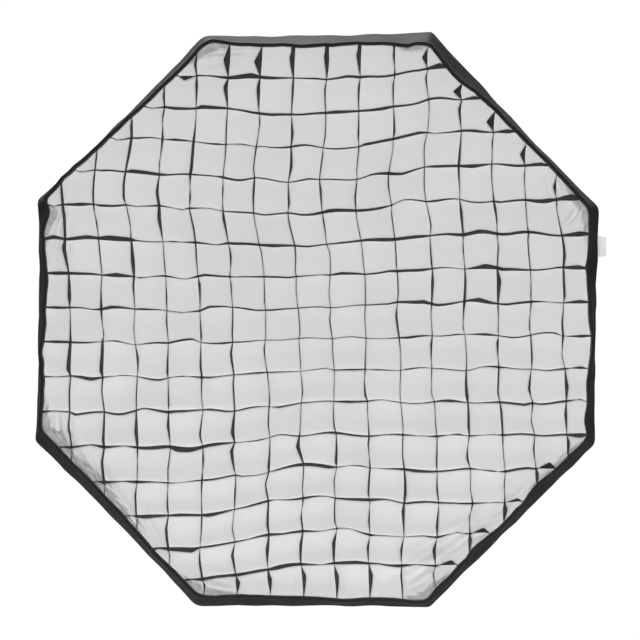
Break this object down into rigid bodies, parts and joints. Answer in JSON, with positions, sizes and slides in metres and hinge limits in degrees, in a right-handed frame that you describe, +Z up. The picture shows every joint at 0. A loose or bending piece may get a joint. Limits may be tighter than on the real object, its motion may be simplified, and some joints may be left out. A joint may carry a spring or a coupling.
{
  "type": "octabox softbox",
  "caption": "Eight-sided fabric softbox on bowed spring-steel rods, with egg-crate grid, two white diffusers and a turning bayonet speedring.",
  "frame": {"origin": "centre of the lamp bore, in the plane of the flat seat that bears on the lamp", "axes": "+Y is the optical axis and points back to the lamp, +Z is up, light leaves towards -Y"},
  "size_m": [0.9611, 0.449, 0.952],
  "materials": {
    "insert_metal": "satin machined",
    "ring_black": "satin black coating",
    "socket_metal": "satin",
    "knob": "satin",
    "spring_steel": "satin",
    "tip_plastic": "matte",
    "cover_black": "black nylon, silver lining inside",
    "webbing_black": "ribbed webbing",
    "tape_black": "hook-and-loop",
    "diffusion_white": "white translucent",
    "grid_black": "matte black",
    "label_white": "blank woven",
    "snap_metal": "plated"
  },
  "bodies": {
    "insert": {"bayonet_insert": "insert_metal"},
    "screw_1": {"thumb_screw_1": "knob"},
    "screw_2": {"thumb_screw_2": "knob"},
    "screw_3": {"thumb_screw_3": "knob"},
    "screw_4": {"thumb_screw_4": "knob"},
    "baffle": {"baffle_sheet": "diffusion_white", "baffle_tabs": "webbing_black", "snap_caps": "snap_metal"},
    "diffuser": {"front_diffuser": "diffusion_white", "diffuser_border": "tape_black"},
    "grid": {"grid_border": "tape_black", "grid_strips_upright": "grid_black", "grid_strips_level": "grid_black"},
    "box": {"speedring": "ring_black", "rod_sockets": "socket_metal", "rod_tips": "tip_plastic", "rod_loops": "webbing_black", "corner_patches": "cover_black", "rear_cuff": "webbing_black", "front_lip": "cover_black", "lip_loop_tape": "tape_black", "label_tab": "label_white", "snap_studs": "snap_metal", "gore_1": "cover_black", "seam_binding_1": "webbing_black", "rod_1": "spring_steel", "rod_pocket_1": "webbing_black", "gore_2": "cover_black", "seam_binding_2": "webbing_black", "rod_2": "spring_steel", "rod_pocket_2": "webbing_black", "gore_3": "cover_black", "seam_binding_3": "webbing_black", "rod_3": "spring_steel", "rod_pocket_3": "webbing_black", "gore_4": "cover_black", "seam_binding_4": "webbing_black", "rod_4": "spring_steel", "rod_pocket_4": "webbing_black", "gore_5": "cover_black", "seam_binding_5": "webbing_black", "rod_5": "spring_steel", "rod_pocket_5": "webbing_black", "gore_6": "cover_black", "seam_binding_6": "webbing_black", "rod_6": "spring_steel", "rod_pocket_6": "webbing_black", "gore_7": "cover_black", "seam_binding_7": "webbing_black", "rod_7": "spring_steel", "rod_pocket_7": "webbing_black", "gore_8": "cover_black", "seam_binding_8": "webbing_black", "rod_8": "spring_steel", "rod_pocket_8": "webbing_black"}
  },
  "joints": [
    {"name": "ring_turn", "type": "hinge", "parent": "insert", "child": "box", "pos_m": [0, -0.0088, 0], "axis": [0, 1, 0], "continuous": true},
    {"name": "screw_1_turn", "type": "hinge", "parent": "box", "child": "screw_1", "pos_m": [0, -0.0088, 0.07], "axis": [0, 0, 1], "range_deg": [0, 810]},
    {"name": "screw_2_turn", "type": "hinge", "parent": "box", "child": "screw_2", "pos_m": [0.07, -0.0088, 0], "axis": [1, 0, 0], "range_deg": [0, 810]},
    {"name": "screw_3_turn", "type": "hinge", "parent": "box", "child": "screw_3", "pos_m": [0, -0.0088, -0.07], "axis": [0, 0, -1], "range_deg": [0, 810]},
    {"name": "screw_4_turn", "type": "hinge", "parent": "box", "child": "screw_4", "pos_m": [-0.07, -0.0088, 0], "axis": [-1, 0, 0], "range_deg": [0, 810]},
    {"name": "baffle_off", "type": "slide", "parent": "box", "child": "baffle", "axis": [0, -1, 0], "range_m": [0, 0.35]},
    {"name": "diffuser_off", "type": "slide", "parent": "baffle", "child": "diffuser", "axis": [0, -1, 0], "range_m": [0, 0.15]},
    {"name": "grid_off", "type": "slide", "parent": "diffuser", "child": "grid", "axis": [0, -1, 0], "range_m": [0, 0.15]}
  ]
}
